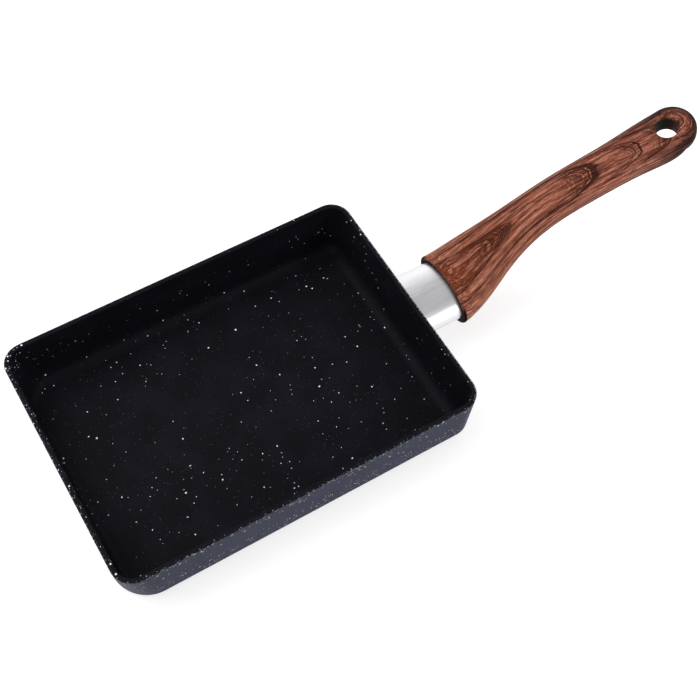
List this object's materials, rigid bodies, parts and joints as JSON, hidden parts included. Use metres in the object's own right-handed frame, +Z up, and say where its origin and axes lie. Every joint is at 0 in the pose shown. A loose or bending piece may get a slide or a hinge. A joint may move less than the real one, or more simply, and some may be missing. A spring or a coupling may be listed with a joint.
{
  "type": "rectangular omelette pan",
  "caption": "Small rectangular frying pan for rolled omelettes, with drafted walls, an oval metal ferrule and a curved wood-look handle with a hang hole.",
  "frame": {"origin": "centre of the base's flat underside, on the surface that the pan stands on", "axes": "+X along the pan's length towards the handle, +Y across the pan, +Z up"},
  "size_m": [0.3501, 0.134, 0.0767],
  "materials": {
    "speckled_coating": "satin non-stick coating on aluminium, black inside and bluish grey outside, with fine white specks",
    "brushed_aluminium": "satin, brushed along the tube",
    "wood_look_handle": "rosewood-look skin on a black moulded thermoset core",
    "zinc_steel": "bright zinc plate"
  },
  "bodies": {
    "root": {"pan_body": "speckled_coating", "ferrule": "brushed_aluminium", "handle": "wood_look_handle", "handle_bracket": "zinc_steel", "bracket_nut": "zinc_steel", "flat_washer": "zinc_steel", "spring_washer": "zinc_steel", "handle_screw": "zinc_steel"}
  },
  "joints": []
}
